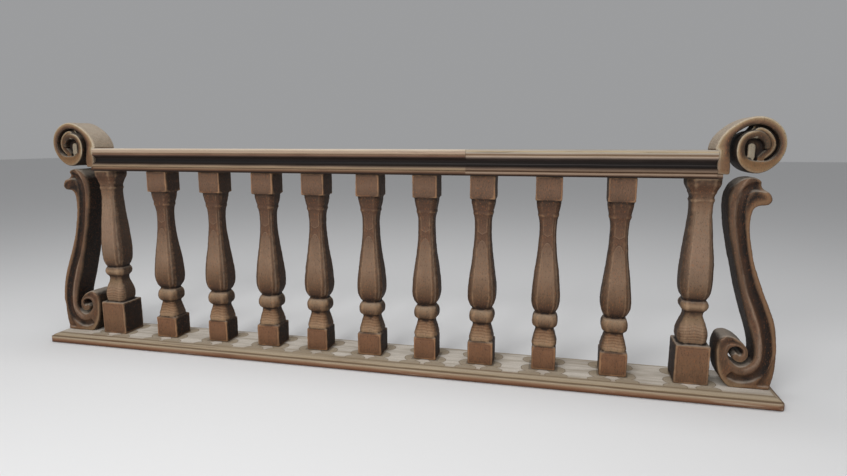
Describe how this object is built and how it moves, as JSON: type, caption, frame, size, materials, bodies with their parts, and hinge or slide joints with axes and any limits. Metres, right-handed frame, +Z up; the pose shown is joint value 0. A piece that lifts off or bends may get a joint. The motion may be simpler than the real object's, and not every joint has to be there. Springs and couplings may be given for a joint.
{
  "type": "balustrade railing",
  "caption": "Straight carved wooden railing: square vase balusters between a moulded base plate and a moulded handrail with rolled volute ends and S-scroll end brackets.",
  "frame": {"origin": "middle of the base plate's underside", "axes": "+X along the rail, +Y to the back, +Z up"},
  "size_m": [3.222, 0.3, 1.0512],
  "materials": {
    "base_wood": "worn, dusty, bare timber",
    "carved_wood": "carved, waxed, worn at the edges",
    "rail_wood": "moulded, waxed, rubbed pale on the high places",
    "bracket_wood": "carved, waxed, dark in the hollows"
  },
  "bodies": {
    "root": {"base_board": "base_wood", "base_edge_front": "base_wood", "base_edge_back": "base_wood", "base_edge_left": "base_wood", "base_edge_right": "base_wood", "baluster_1": "carved_wood", "baluster_2": "carved_wood", "baluster_3": "carved_wood", "baluster_4": "carved_wood", "baluster_5": "carved_wood", "baluster_6": "carved_wood", "baluster_7": "carved_wood", "baluster_8": "carved_wood", "baluster_9": "carved_wood", "post_left": "carved_wood", "post_right": "carved_wood", "subrail": "rail_wood", "handrail": "rail_wood", "volute_left": "rail_wood", "volute_right": "rail_wood", "bracket_left": "bracket_wood", "bracket_right": "bracket_wood"}
  },
  "joints": []
}
